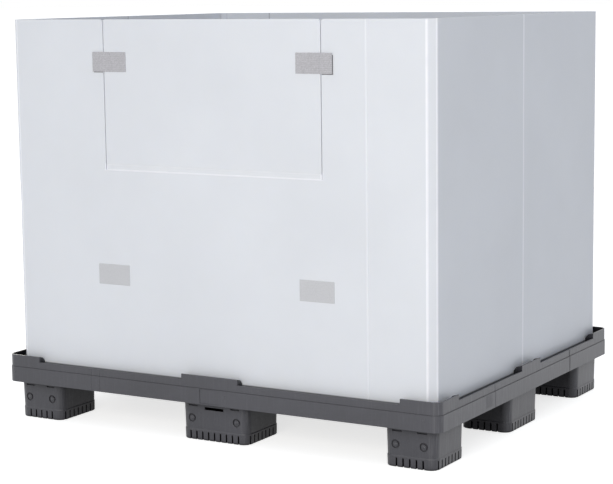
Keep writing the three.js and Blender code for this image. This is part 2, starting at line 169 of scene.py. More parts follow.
def feed(tree, shader, **links):
    """Links node outputs to the shader's sockets, named with _ for a space."""
    for key, socket in links.items():
        tree.links.new(socket, shader.inputs[key.replace("_", " ")])


def mesh_object(name, points, faces, materials, fold=None, indices=None):
    """A smooth-shaded object from millimetre points, with an optional fold value at each point."""
    mesh = bpy.data.meshes.new(name)
    mesh.from_pydata([[value * MM for value in point] for point in points], [], faces)
    for material in materials:
        mesh.materials.append(material)
    if indices:
        mesh.polygons.foreach_set("material_index", indices)
    if fold:
        layer = mesh.attributes.new("fold", "FLOAT", "POINT")
        layer.data.foreach_set("value", fold)
    mesh.polygons.foreach_set("use_smooth", [True] * len(mesh.polygons))
    mesh.validate()
    obj = bpy.data.objects.new(name, mesh)
    bpy.context.collection.objects.link(obj)
    return obj


def soften(obj, width, angle):
    """Rounds every edge sharper than angle by width, in millimetres, and keeps its flat faces
    evenly shaded. Returns the bevel."""
    bevel = obj.modifiers.new("softened edges", "BEVEL")
    bevel.width = width * MM
    bevel.segments = 2
    bevel.limit_method = "ANGLE"
    bevel.angle_limit = math.radians(angle)
    bevel.use_clamp_overlap = True
    flat = obj.modifiers.new("flat faces stay flat", "WEIGHTED_NORMAL")
    flat.weight = 80
    flat.keep_sharp = False
    return bevel


def finish_piece(obj, body, slot, *nodes):
    """Puts a finished piece on its body and in place of its frame nodes."""
    if body:
        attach(obj, body)
    if nodes:
        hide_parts(*nodes)


# Sheets of board

def double_sheet(name, columns, levels, place, materials, closed=False, kept=None, fold=None):
    """A closed sheet from matched outer and inner points.

    place(column, level, side) gives a point, with side 0 outside and 1 inside. kept(i, j) says
    whether the cell after column i and above level j is there. fold(column, level, side) gives how
    much a point is whitened by folding, or below 0 how much the fold is in shade. The rim of the
    sheet takes the second material.
    """
    count, rows = len(columns), len(levels)
    spans = count if closed else count - 1
    points, whites, index = [], [], {}

    def point(i, j, side):
        key = (i % count, j, side)
        if key not in index:
            index[key] = len(points)
            points.append(place(columns[key[0]], levels[j], side))
            whites.append(fold(columns[key[0]], levels[j], side) if fold else 0.0)
        return index[key]

    def present(i, j):
        if not closed and not 0 <= i < spans:
            return False
        return 0 <= j < rows - 1 and (kept is None or kept(i % count, j))

    faces, slots = [], []

    def face(corners, slot):
        faces.append(corners)
        slots.append(slot)

    for i in range(spans):
        for j in range(rows - 1):
            if not present(i, j):
                continue
            outer = [point(*key, 0) for key in ((i, j), (i + 1, j), (i + 1, j + 1), (i, j + 1))]
            inner = [point(*key, 1) for key in ((i, j), (i + 1, j), (i + 1, j + 1), (i, j + 1))]
            face(outer, 0)
            face(inner[::-1], 0)
            neighbours = ((i, j - 1), (i + 1, j), (i, j + 1), (i - 1, j))
            for edge, beside in enumerate(neighbours):
                if not present(*beside):
                    a, b = edge, (edge + 1) % 4
                    face([outer[b], outer[a], inner[a], inner[b]], 1)
    return mesh_object(name, points, faces, materials, whites if fold else None, slots)


def wall_stops(length, marks, pitch=55.0):
    """Positions along a wall: the marks, and more between them no further apart than pitch."""
    ends = sorted({0.0, length, *marks})
    stops = []
    for low, high in zip(ends, ends[1:]):
        steps = max(1, math.ceil((high - low) / pitch))
        stops += [low + (high - low) * k / steps for k in range(steps)]
    return stops + [length]


def wall_marks(name, length):
    """Where a wall is creased, if at all, and the places along it that need a column."""
    near_fold = [FOLD_REACH, FOLD_REACH + 1.3, FOLD_REACH + 2.6]
    marks = near_fold + [length - step for step in near_fold]
    crease = {"front": length / 2 + FOLD_LINE, "back": length / 2 + FOLD_LINE,
              "left": length / 2, "right": length / 2}.get(name)
    if name == "front":
        marks += [length / 2 + side * edge for side in (-1, 1)
                  for edge in (DOORWAY_HALF, DOORWAY_HALF + 3, DOORWAY_HALF + 9)]
    if crease:
        marks += [crease + step for step in (-5, -2.5, -1.1, 0, 1.1, 2.5, 5)]
    return crease, marks


def wall_column(name, start, along, normal, length, stop, crease):
    """Column of a wall at a place along it, sunk into the crease if it is near."""
    from_crease = abs(stop - crease) if crease else length
    depth = max(0.0, 1 - from_crease / CREASE_HALF)
    # The inner face is shorter, as the board is bent round its corners.
    shift = BOARD * math.tan(math.pi / 8) + 0.2
    low, high = shift + 0.15 * stop, length - shift - 0.15 * (length - stop)
    inside = min(max(stop, min(low, length / 2)), max(high, length / 2))
    white = STRIP_WHITE if name == "strip" else 0.0
    if min(stop, length - stop) < FOLD_REACH + 2.0:
        white = 1.0
    if from_crease < 2.6:
        white = CREASE_WHITE[name] * (1.0 if from_crease < 1.5 else 0.6)
    return {
        "outer": start + along * stop - normal * depth,
        "inner": start + along * inside - normal * (BOARD - 0.5 * depth),
        "normal": normal, "wall": name, "along": 2 * stop / length - 1, "fold": white,
        "x": (start + along * stop).x, "groove": from_crease < 1.5,
    }


def corner_column(turn, inward):
    """Column on the rounded fold between two walls."""
    centre = turn - inward * FOLD_RADIUS / math.cos(math.pi / 8)
    return {
        "outer": centre + inward * FOLD_RADIUS,
        "inner": turn - inward * BOARD / math.cos(math.pi / 8),
        "normal": inward, "wall": "corner", "along": 1.0, "fold": 1.0, "x": turn.x,
        "groove": False,
    }


def sleeve_columns():
    """Columns of the sleeve anticlockwise from the front's left end.

    Each column is a dictionary: outer and inner plan points, the wall's outward normal and name,
    the place along the wall from -1 to 1, how white its fold is, its x before it is sunk, and
    whether it is in a crease's groove.
    """
    x, y, leg = SLEEVE[1][0], SLEEVE[1][1], CORNER_LEG
    corners = [Vector(corner) for corner in (
        (-x + leg, -y), (x - leg, -y), (x, -y + leg), (x, y - leg),
        (x - leg, y), (-x + leg, y), (-x, y - leg), (-x, -y + leg))]
    names = ["front", "strip", "right", "strip", "back", "strip", "left", "strip"]
    directions = [(corners[(k + 1) % 8] - corners[k]).normalized() for k in range(8)]
    normals = [Vector((d.y, -d.x)) for d in directions]
    columns = []
    for k, name in enumerate(names):
        turn = corners[(k + 1) % 8]
        length = (turn - corners[k]).length
        crease, marks = wall_marks(name, length)
        columns += [wall_column(name, corners[k], directions[k], normals[k], length, stop, crease)
                    for stop in wall_stops(length, marks)[1:-1]]
        columns.append(corner_column(turn, (normals[k] + normals[(k + 1) % 8]).normalized()))
    return columns


def bow_of(column, level):
    """How far a free wall bows outwards at a point, in millimetres: none at the front."""
    most = {"back": 2.0, "left": 1.6, "right": 1.6}.get(column["wall"], 0.0)
    height = (level - SLEEVE[0][2]) / (SLEEVE[1][2] - SLEEVE[0][2])
    span = math.cos(column["along"] * math.pi / 2)
    return most * span * (0.15 + 0.85 * min(1.0, height * 1.4)) * math.sin(
        math.pi * min(1.0, 0.25 + height))


def notch_reach(level, top, radius=7.0):
    """How far a corner of the given radius has turned away from its edge at this height."""
    rise = max(0.0, level - (top - radius))
    return radius - math.sqrt(max(0.0, radius * radius - rise * rise))


def notch_levels(top):
    """Levels close enough to draw the rounded corners at the top of the door's cuts."""
    return [top - 7, top - 5, top - 3.2, top - 1.8, top - 0.8, top]


# Materials

def moulded_hdpe(name, colour, light_colour, scuffed):
    """HDPE, injection moulded against an etched mould: an even grey with a fine eggshell, a soft
    sheen where light grazes it, dust on what faces up, painted shade in its recesses and under
    the deck, and edges that are paler where they are scuffed, by the share scuffed."""
    material, tree, shader = blank_material(name)
    place = add_node(tree, "ShaderNodeTexCoord").outputs["Object"]
    # The colorant is mixed unevenly over patches about 250 mm wide.
    patches = add_node(tree, "ShaderNodeTexNoise",
                       {"Vector": place, "Scale": 1 / 0.25, "Detail": 5.0, "Roughness": 0.6})
    body = mix_colours(tree, grey_ramp(tree, patches.outputs["Fac"], 0.35, 0.68),
                       colour, light_colour)
    # Rubs from the boxes beside it run upright on the ends, about 60 mm long and 3 mm apart.
    stretched = add_node(tree, "ShaderNodeMapping",
                         {"Vector": place, "Scale": (300.0, 300.0, 16.0),
                          "Rotation": (0.02, 0.03, 0)})
    streaks = add_node(tree, "ShaderNodeTexNoise",
                       {"Vector": stretched.outputs[0], "Scale": 1.0, "Detail": 3.0})
    rubs = grey_ramp(tree, streaks.outputs["Fac"], 0.50, 0.72)
    geometry = add_node(tree, "ShaderNodeNewGeometry")
    facing = add_node(tree, "ShaderNodeSeparateXYZ", {"Vector": geometry.outputs["Normal"]})
    # The rubs are real marks, but they are drawn far stronger on faces turned to the ends (up to
    # 0.27) than on the front (0.04), which also paints a lighter sheen on the ends.
    at_ends = add_node(tree, "ShaderNodeMath", {0: facing.outputs["X"]}, operation="ABSOLUTE")
    rubs_scuffs_and_end_sheen = add_node(tree, "ShaderNodeMath",
                          {0: rubs, 1: remap(tree, at_ends.outputs[0], (0.0, 1.0), (0.04, 0.27)),
                           2: scuffed}, operation="MULTIPLY_ADD")
    dust_patch = add_node(tree, "ShaderNodeTexNoise",
                          {"Vector": place, "Scale": 1 / 0.06, "Detail": 6.0, "Roughness": 0.7})
    dust = add_node(tree, "ShaderNodeMath", {0: facing.outputs["Z"], 1: dust_patch.outputs["Fac"]},
                    operation="MULTIPLY", use_clamp=True)
    paler = add_node(tree, "ShaderNodeMath",
                     {0: dust.outputs[0], 1: 0.12, 2: rubs_scuffs_and_end_sheen.outputs[0]},
                     operation="MULTIPLY_ADD", use_clamp=True).outputs[0]
    dust_wear_and_end_sheen = mix_colours(tree, paler, body, linear("8f8f93"))
    # Painted shade: the colour is darkened towards near black, and its reflection dimmed, where
    # most of the 300 mm of room before the face is taken, as under the deck, and also in slots,
    # grooves and sockets, with 14 mm of room.
    room = add_node(tree, "ShaderNodeAmbientOcclusion", {"Distance": 0.3}, samples=8)
    nook = add_node(tree, "ShaderNodeAmbientOcclusion", {"Distance": 0.014}, samples=8)
    # Share of painted shade at each point, the larger of the two occlusions.
    dull = add_node(tree, "ShaderNodeMath",
                    {0: remap(tree, room.outputs["AO"], (0.14, 0.56), (1.0, 0.0)),
                     1: remap(tree, nook.outputs["AO"], (0.4, 0.82), (1.0, 0.0))},
                    operation="MAXIMUM").outputs[0]
    body_with_painted_shade = mix_colours(tree, dull, dust_wear_and_end_sheen, linear("17171a"))
    # The real eggshell is about 0.3 mm; it is drawn at 2.5 mm, the finest that a picture shows.
    eggshell = add_node(tree, "ShaderNodeTexNoise",
                        {"Vector": place, "Scale": 1 / 0.0025, "Detail": 2.0})
    relief = add_node(tree, "ShaderNodeBump",
                      {"Height": eggshell.outputs["Fac"], "Strength": 0.22, "Distance": 0.0004})
    # Shrinkage while cooling leaves the faces slightly wavy over some 90 mm.
    waves = add_node(tree, "ShaderNodeTexNoise", {"Vector": place, "Scale": 1 / 0.09})
    sunk = add_node(tree, "ShaderNodeBump", {"Height": waves.outputs["Fac"], "Strength": 0.25,
                                             "Distance": 0.002, "Normal": relief.outputs[0]})
    shader.inputs["IOR"].default_value = 1.54
    feed(tree, shader, Base_Color=body_with_painted_shade, Normal=sunk.outputs[0],
         Roughness=remap(tree, paler, (0.0, 1.0), (0.36, 0.7)),
         Specular_IOR_Level=remap(tree, dull, (0.0, 1.0), (0.6, 0.06)))
    return material


def painted_foot_shade(tree, place):
    """How much painted shade darkens the sleeve's foot, where the gap inside the rim lies in shade:
    up to some 145 mm from the floor, just under the rim's top edge, and to some 3 mm less on the
    end walls, which begin at 570 mm from the middle."""
    spot = add_node(tree, "ShaderNodeSeparateXYZ", {"Vector": place})
    aside = add_node(tree, "ShaderNodeMath", {0: spot.outputs["X"]}, operation="ABSOLUTE")
    height = add_node(tree, "ShaderNodeMath",
                      {0: spot.outputs["Z"],
                       1: remap(tree, aside.outputs[0], (0.566, 0.570), (0.0, 0.0032))},
                      operation="ADD")
    return remap(tree, height.outputs[0], (0.1460, 0.1430), (0.0, 0.85))


def pp_board(name, colour, fold_colour, edge=False):
    """Polypropylene board, extruded with a cellular core between two smooth skins: a cool pale
    satin that lets a little light in, with the cells just telling through the skin, and white
    where the sheet has been creased. Its sealed edge is paler and slightly dimpled."""
    material, tree, shader = blank_material(name)
    place = add_node(tree, "ShaderNodeTexCoord").outputs["Object"]
    cloud = add_node(tree, "ShaderNodeTexNoise",
                     {"Vector": place, "Scale": 1 / 0.32, "Detail": 4.0, "Roughness": 0.55})
    skin = tinted(tree, colour, remap(tree, cloud.outputs["Fac"], (0.3, 0.7), (0.965, 1.02)))
    crease = add_node(tree, "ShaderNodeAttribute", attribute_name="fold").outputs["Fac"]
    # Stress whitening is patchy along a fold, over some 40 mm.
    patch = add_node(tree, "ShaderNodeTexNoise",
                     {"Vector": place, "Scale": 1 / 0.04, "Detail": 3.0})
    white = add_node(tree, "ShaderNodeMath",
                     {0: crease, 1: remap(tree, patch.outputs["Fac"], (0.3, 0.7), (0.75, 1.0))},
                     operation="MULTIPLY", use_clamp=True)
    creased = mix_colours(tree, white.outputs[0], skin, fold_colour)
    # Inside a corner the crushed board lies in its own shade.
    shade = add_node(tree, "ShaderNodeMath", {0: crease, 1: -0.8}, operation="MULTIPLY",
                     use_clamp=True)
    shady = mix_colours(tree, shade.outputs[0], creased, linear("6b6b75"))
    # Painted shade: the sleeve's foot is darkened up to just under the rim's top edge, where the
    # gap inside the rim lies in shade.
    with_foot_shade = mix_colours(tree, painted_foot_shade(tree, place), shady, linear("3a3a3e"))
    # Cells of the core, 9 mm apart, print through the skin by a few hundredths of a millimetre.
    cells = add_node(tree, "ShaderNodeTexVoronoi", {"Vector": place, "Scale": 1 / 0.009},
                     feature="SMOOTH_F1")
    relief = add_node(tree, "ShaderNodeBump",
                      {"Height": cells.outputs["Distance"], "Strength": 0.5 if edge else 0.10,
                       "Distance": 0.0006})
    # Rollers leave the skin slightly wavy over 150 mm.
    waves = add_node(tree, "ShaderNodeTexNoise", {"Vector": place, "Scale": 1 / 0.15})
    sunk = add_node(tree, "ShaderNodeBump", {"Height": waves.outputs["Fac"], "Strength": 0.18,
                                             "Distance": 0.003, "Normal": relief.outputs[0]})
    shader.inputs["IOR"].default_value = 1.49
    shader.inputs["Roughness"].default_value = 0.6 if edge else 0.42
    shader.inputs["Subsurface Weight"].default_value = 0.12
    shader.inputs["Subsurface Radius"].default_value = (0.7, 0.8, 1.0)
    shader.inputs["Subsurface Scale"].default_value = 0.008
    feed(tree, shader, Base_Color=with_foot_shade, Normal=sunk.outputs[0])
    return material


def loop_tape(colour):
    """Polyamide loop tape, woven and brushed: a soft grey pile that scatters light at its edges,
    with the ground weave's rows just showing, and a painted highlight and shade: the colour is
    lighter where the pile stands high, as single loops catching the light, and darker where it is
    low."""
    material, tree, shader = blank_material("woven_loop_tape")
    place = add_node(tree, "ShaderNodeTexCoord").outputs["Object"]
    # The loops are 0.5 mm apart; they are drawn 2.6 mm apart, the finest that a picture shows.
    pile = add_node(tree, "ShaderNodeTexNoise",
                    {"Vector": place, "Scale": 1 / 0.0026, "Detail": 4.0, "Roughness": 0.75})
    rows = add_node(tree, "ShaderNodeTexWave",
                    {"Vector": place, "Scale": 1 / (0.0045 * math.pi), "Distortion": 1.5,
                     "Detail": 1.0}, bands_direction="Z")
    grain = add_node(tree, "ShaderNodeMath",
                     {0: rows.outputs["Fac"], 1: 0.07, 2: pile.outputs["Fac"]},
                     operation="MULTIPLY_ADD").outputs[0]
    relief = add_node(tree, "ShaderNodeBump",
                      {"Height": grain, "Strength": 0.6, "Distance": 0.0012})
    shader.inputs["Roughness"].default_value = 0.95
    shader.inputs["Sheen Weight"].default_value = 0.35
    shader.inputs["Sheen Roughness"].default_value = 0.5
    # Painted highlight and shade: the colour follows the relief, lighter where the pile stands high
    # and darker where it is low.
    feed(tree, shader, Normal=relief.outputs[0],
         Base_Color=tinted(tree, colour, remap(tree, grain, (0.3, 0.8), (0.72, 1.22))))
    return material


def hook_tape(name, colour):
    """Polyamide hook tape, woven with rows of cut loops: flatter and paler than the pile, with a
    fine regular grain and a dull nylon gleam on the hooks' tips, partly from its sheen and partly
    a painted highlight: the colour is lighter at the tips and darker on the ground between them."""
    material, tree, shader = blank_material(name)
    place = add_node(tree, "ShaderNodeTexCoord").outputs["Object"]
    # Hooks stand in rows 3 mm apart here; the real rows are 1.5 mm apart, too fine to show.
    rows = add_node(tree, "ShaderNodeTexVoronoi",
                    {"Vector": place, "Scale": 1 / 0.003, "Randomness": 0.35}).outputs["Distance"]
    relief = add_node(tree, "ShaderNodeBump",
                      {"Height": rows, "Strength": 0.4, "Distance": 0.0008}, invert=True)
    shader.inputs["Roughness"].default_value = 0.7
    shader.inputs["Sheen Weight"].default_value = 0.15
    # Painted highlight and shade: lighter on the hooks' tips, darker on the ground between them.
    feed(tree, shader, Normal=relief.outputs[0],
         Base_Color=tinted(tree, colour, remap(tree, rows, (0.0, 0.8), (1.06, 0.86))))
    return material


def board_materials(finish):
    """The board's skin and its sealed edge, made once."""
    found = [bpy.data.materials.get(name) for name in ("pp_board_skin", "pp_board_edge")]
    if all(found):
        return found
    return [pp_board("pp_board_skin", finish.board, finish.fold),
            pp_board("pp_board_edge", finish.board, finish.fold, edge=True)]


# Pallet details

def add_dome(mesh, centre, axis, radius, height, sides=14):
    """A shallow closed dome on a face, standing out along axis."""
    turn = Vector((0, 0, 1)).rotation_difference(Vector(axis)).to_matrix()
    levels = [(1.0, -0.6), (1.0, 0.0), (0.86, 0.55), (0.5, 0.9)]
    rings = []
    for size, rise in levels:
        rings.append([mesh.verts.new((Vector(centre) + turn @ Vector((
            radius * size * math.cos(2 * math.pi * k / sides),
            radius * size * math.sin(2 * math.pi * k / sides), height * rise))) * MM)
            for k in range(sides)])
    tip = mesh.verts.new((Vector(centre) + turn @ Vector((0, 0, height))) * MM)
    for low, high in zip(rings, rings[1:]):
        for k in range(sides):
            mesh.faces.new((low[k], low[(k + 1) % sides], high[(k + 1) % sides], high[k]))
    for k in range(sides):
        mesh.faces.new((rings[-1][k], rings[-1][(k + 1) % sides], tip))
    mesh.faces.new(rings[0][::-1])


def add_ridge(mesh, low, high, slant=0.35):
    """A thin moulded line between two corners, narrower towards its outer side."""
    size = [b - a for a, b in zip(low, high)]
    thin = size.index(min(size[0], size[1]))
    corners = [mesh.verts.new(Vector((low[0] + size[0] * x, low[1] + size[1] * y, z)) * MM)
               for z in (low[2], high[2]) for x, y in ((0, 0), (1, 0), (1, 1), (0, 1))]
    outward = -1 if (low[thin] + high[thin]) < 0 else 1
    for vert in corners:
        if (vert.co[thin] - (low[thin] + high[thin]) / 2 * MM) * outward > 0:
            along = 1 - thin
            middle = (low[along] + high[along]) / 2 * MM
            vert.co[along] += (middle - vert.co[along]) * slant
    mesh.faces.new(corners[3::-1])
    mesh.faces.new(corners[4:])
    for k in range(4):
        beside = (k + 1) % 4
        mesh.faces.new((corners[k], corners[beside], corners[beside + 4], corners[k + 4]))


def moulded_copy(node, materials, extras=None):
    """A copy of a frame node with its flat faces made whole, its details added and its edges
    softened as the mould leaves them."""
    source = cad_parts[node]
    mesh = bpy.data.meshes.new(f"{node}_moulding")
    work = bmesh.new()
    work.from_mesh(source.data)
    work.transform(source.matrix_world)
    bmesh.ops.remove_doubles(work, verts=work.verts, dist=0.00002)
    bmesh.ops.dissolve_limit(work, angle_limit=math.radians(0.6), verts=work.verts,
                             edges=work.edges, use_dissolve_boundaries=False)
    if extras:
        extras(work)
    work.to_mesh(mesh)
    work.free()
    mesh.materials.clear()
    for material in materials:
        mesh.materials.append(material)
    mesh.polygons.foreach_set("use_smooth", [True] * len(mesh.polygons))
    mesh.polygons.foreach_set("material_index", [0] * len(mesh.polygons))
    obj = bpy.data.objects.new(f"{node}_moulding", mesh)
    bpy.context.collection.objects.link(obj)
    soften(obj, 0.7, 28).material = 1
    finish_piece(obj, "box", "moulded_hdpe", node)
    return obj


def add_split(mesh, along, place, half, proud):
    """A split line of the mould up the rim's front (along 0) or right end (along 1): one ridge
    below the ledge and one above it, where the face lies further in."""
    face, outward = (DECK[0][1], -1) if along == 0 else (DECK[1][0], 1)
    for low, high, inset in ((93, LEDGE, 0.0), (LEDGE + 0.5, 146, LEDGE_INSET)):
        ends = sorted((face - outward * (inset + 2.0), face - outward * (inset - proud)))
        if along == 0:
            add_ridge(mesh, (place - half, ends[0], low), (place + half, ends[1], high))
        else:
            add_ridge(mesh, (ends[0], place - half, low), (ends[1], place + half, high))


def deck_extras(mesh):
    """Witness marks of the mould on the rim's outer faces."""
    front, right = DECK[0][1], DECK[1][0]
    for x in (-343, -318, 262):
        add_split(mesh, 0, x, 0.7, 0.5)
    for y in (-210, 241):
        add_split(mesh, 1, y, 0.9, 0.7)
    for k in range(6):
        y = -260 + 6 * k
        add_ridge(mesh, (right - 2.0, y - 0.7, 99), (right + 0.5, y + 0.7, 128))
    for x, z in ((42, 116), (-578, 118), (560, 118)):
        add_dome(mesh, (x, front, z), (0, -1, 0), 3.2, 0.9)


def foot_extras(node):
    """Pins in the middle of the foot's ringed sockets."""
    low, high = frame_mm(node)
    side = {"foot_front": -1, "foot_back": 1}.get(node.rsplit("_", 1)[0])
    lean = FOOT_LEAN * (1 - SOCKET_HEIGHT / FOOT_HEIGHT)

    def add(mesh):
        if side is None:
            return
        base = (low if side < 0 else high)[1] - side * lean
        for x in (low[0] + SOCKET_INSET, high[0] - SOCKET_INSET):
            add_dome(mesh, (x, base, SOCKET_HEIGHT), (0, side, 0), 3.6, 1.5)
    return add


# Props

def colour_property(name, hex_colour, description):
    """A colour that the user can change, given as sRGB hex."""
    return FloatVectorProperty(name=name, description=description, default=linear(hex_colour),
                               size=4, subtype="COLOR", min=0.0, max=1.0)


class PalletBoxFinish(bpy.types.PropertyGroup):
    """Colours of the pallet box."""
    pallet: colour_property("Pallet", "33333a", "Moulded HDPE, body colour")
    pallet_light: colour_property("Pallet, light", "3c3c44",
                                  "Moulded HDPE where the colorant is thinner")
    board: colour_property("Board", "e0e3ea", "Skin of the polypropylene board")
    fold: colour_property("Fold", "f6f7ff", "Board whitened by creasing")
    strap: colour_property("Strap", "bbbac0", "Woven loop tape of the straps")
    patch: colour_property("Patch", "cdced3", "Woven hook tape of the patches")
    # Painted shadow: the hook tape under the straps' free ends is drawn dark, standing for the
    # shadow under the lifted straps.
    shadow_dark_patch: colour_property("Strap's patch", "737378",
                                 "Woven hook tape under the straps' free ends")


class PalletBoxSizes(bpy.types.PropertyGroup):
    """Sizes that only change the looks."""
    strap_rise: FloatProperty(name="Right strap's rise", subtype="DISTANCE", unit="LENGTH",
                              description="The right strap was stuck on higher than the left",
                              default=0.003)
    hook_pitch: FloatProperty(name="Hook pitch", subtype="DISTANCE", unit="LENGTH",
                              description="Spacing of the posts on the hook tape",
                              default=0.003, min=0.001)
    post_height: FloatProperty(name="Post height", subtype="DISTANCE", unit="LENGTH",
                               description="Height of the posts on the hook tape",
                               default=0.0005, min=0.0001)


class PalletBoxStage(bpy.types.PropertyGroup):
    """Light and camera."""
    key: FloatProperty(name="Key light", description="Power of the large front light",
                       default=118.0, min=0.0, unit="POWER")
    side: FloatProperty(name="Side light", description="Power of the light at the right end",
                        default=2.5, min=0.0, unit="POWER")
    back: FloatProperty(name="Back light", description="Power of the light behind the box",
                        default=70.0, min=0.0, unit="POWER")
    fill: FloatProperty(name="Fill", description="Strength of the even light of the room",
                        default=0.54, min=0.0, max=2.0, subtype="FACTOR")
    room: colour_property("Room", "f3f8ff", "Colour of the even light, a little cool")
    lamps: colour_property("Lamps", "fffbf2", "Colour of the lamps, a little warm")
    camera: FloatVectorProperty(name="Camera", description="Place of the camera",
                                subtype="TRANSLATION", unit="LENGTH",
                                default=(2.29899, -3.95606, 1.05266))
    lens: FloatProperty(name="Lens", description="Focal length on a 36 mm sensor",
                        default=106.468, min=1.0, unit="CAMERA")


# Operators

class PALLETBOX_OT_pallet(bpy.types.Operator):
    """Pallet deck and its nine feet, with softened edges and the mould's marks"""
    bl_idname = "palletbox.pallet"
    bl_label = "Pallet and feet"

    def execute(self, context):
        finish = context.scene.pallet_box_finish
        colours = finish.pallet, finish.pallet_light
        materials = [moulded_hdpe("moulded_hdpe", *colours, 0.0),
                     moulded_hdpe("moulded_hdpe_edge", *colours, 0.16)]
        moulded_copy("pallet_deck", materials, deck_extras)
        for node in FEET:
            moulded_copy(node, materials, foot_extras(node))
        return {"FINISHED"}


class PALLETBOX_OT_sleeve(bpy.types.Operator):
    """Sleeve folded round from one sheet, with creased corners and the doorway"""
    bl_idname = "palletbox.sleeve"
    bl_label = "Sleeve"

    def execute(self, context):
        columns = sleeve_columns()
        low, high = SLEEVE[0][2], SLEEVE[1][2]
        levels = [low, low + 4] + [low + 4 + 62 * k for k in range(1, 8)]
        levels += [BAND_LOW - 2, BAND_LOW, BAND_HIGH, BAND_HIGH + 6, *WALL_LEVELS]
        levels = sorted({*levels, *notch_levels(high)})

        def in_doorway(i):
            column, following = columns[i], columns[(i + 1) % len(columns)]
            return (column["wall"] == "front" and following["wall"] == "front"
                    and column["x"] >= -DOORWAY_HALF - 0.01
                    and following["x"] <= DOORWAY_HALF + 0.01)

        def kept(i, j):
            return not (in_doorway(i) and levels[j] >= BAND_LOW - 0.01)

        def place(column, level, side):
            point = column["inner" if side else "outer"]
            point = point + column["normal"] * bow_of(column, level)
            x, y = point.x, point.y
            if column["wall"] == "front" and abs(abs(column["x"]) - DOORWAY_HALF) < 0.01:
                x = math.copysign(abs(x) + notch_reach(level, high), x)
            return (x, y, level)

        def fold(column, level, side):
            if side and column["wall"] == "corner":
                return -1.0
            if side:
                return -0.5 if column["groove"] else 0.0
            if column["wall"] == "front":
                inside = abs(column["x"])
                if abs(inside - DOORWAY_HALF) < 0.1 and BAND_LOW - 0.1 <= level <= BAND_HIGH + 1:
                    return 1.0
                if inside < DOORWAY_HALF and abs(level - BAND_LOW) < 0.1:
                    return 0.9
            return column["fold"]

        sleeve = double_sheet("board_sleeve", columns, levels, place,
                              board_materials(context.scene.pallet_box_finish),
                              closed=True, kept=kept, fold=fold)
        soften(sleeve, 0.5, 50)
        finish_piece(sleeve, "box", "pp_board", "sleeve")
        return {"FINISHED"}


class PALLETBOX_OT_door(bpy.types.Operator):
    """Loading door cut from the front wall, and the crushed band that it folds on"""
    bl_idname = "palletbox.door"
    bl_label = "Loading door"

    def execute(self, context):
        materials = board_materials(context.scene.pallet_box_finish)
        outside, half, top = SLEEVE[0][1], DOOR[1][0], DOOR[1][2]
        across = [-half + stop for stop in wall_stops(2 * half, [8.0, 2 * half - 8.0])]
        levels = [BAND_HIGH, BAND_HIGH + 2, *WALL_LEVELS, *notch_levels(top)]

        def place(x, level, side):
            if abs(abs(x) - half) < 0.01:
                x = math.copysign(half - notch_reach(level, top), x)
            return (x, outside + (BOARD if side else 0.0), level)

        def door_fold(x, level, side):
            return 0.1 if level < BAND_HIGH + 1 else 0.0

        door = double_sheet("board_door", across, levels, place, materials, fold=door_fold)
        soften(door, 0.5, 50)
        finish_piece(door, "door", "pp_board", "loading_door")

        rows = [BAND_LOW - 1.0 + (BAND_HIGH - BAND_LOW + 2.0) * k / 14 for k in range(15)]

        def band_place(x, level, side):
            edge = min(level - BAND_LOW, BAND_HIGH - level)
            sink = BAND_SINK * min(1.0, max(0.0, edge / 1.6))
            if side:
                return (x, outside + BAND_SINK + BAND_SKIN, level)
            return (x, outside + max(sink, 0.12), level)

        def band_fold(x, level, side):
            if level < BAND_LOW + 1.6:
                return 0.9
            if level > BAND_HIGH - 1.2:
                return 0.45
            return 0.9 if abs(x) > half - BAND_END_LINE else 0.06

        ends = [2.0, 4.5, 2 * half - 4.5, 2 * half - 2.0]
        fold_across = [-half + stop for stop in wall_stops(2 * half, ends)]
        band = double_sheet("door_fold_band", fold_across, rows, band_place, materials,
                            fold=band_fold)
        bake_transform(band)
        finish_piece(band, None, "pp_board")
        return {"FINISHED"}


def strap_piece(side, material, rise):
    """One strap: flat on the door, then lifted over the kerf onto the fixed wall's hook patch."""
    low, high = STRAP[side]
    sign = -1 if side == "left" else 1
    inner, outer = sorted((abs(low[0]), abs(high[0])))
    face = SLEEVE[0][1]
    rand = random.Random(11 if side == "left" else 12)
    across = [inner + (outer - inner) * k / 56 for k in range(57)]
    if sign < 0:
        across = [-x for x in across[::-1]]
    levels = [low[2] + (high[2] - low[2]) * k / 26 for k in range(27)]
    fray_ends = {z: rand.uniform(-0.25, 0.25) for z in levels}
    fray_sides = {x: rand.uniform(-0.18, 0.18) for x in across}

    def place(x, level, inside):
        reach = min(1.0, max(0.0, (abs(x) - STRAP_JOG_FROM) / STRAP_JOG))
        raised = STRAP_LIFT * (3 * reach ** 2 - 2 * reach ** 3)
        end = min(abs(x) - inner, outer - abs(x), level - low[2], high[2] - level)
        thin = 0.45 * max(0.0, 1 - end / 1.6) ** 2
        pile = rand.uniform(-0.06, 0.06) if 0.5 < end else 0.0
        # The free end stands off a little, where it is gripped to open the door.
        curl = 0.3 * max(0.0, (abs(x) - outer + 12) / 12) ** 2
        y = face - raised - curl - (0.05 if inside else STRAP_THICKNESS - thin - pile - 0.1)
        across_end = x in (across[0], across[-1])
        level_end = level in (levels[0], levels[-1])
        return (x + across_end * fray_ends[level], y, level + level_end * fray_sides[x] + rise)

    strap = double_sheet(f"loop_strap_{side}", across, levels, place, [material, material])
    soften(strap, 0.35, 60)
    finish_piece(strap, "door", "loop_tape", f"strap_{side}")


def pressed_stops(low, high, parts, edge=0.8):
    """Places across a tape that is pressed thin along its edge, and even parts between."""
    span = high - low - 2 * edge
    return [low, *(low + edge + span * k / parts for k in range(parts)), high - edge, high]


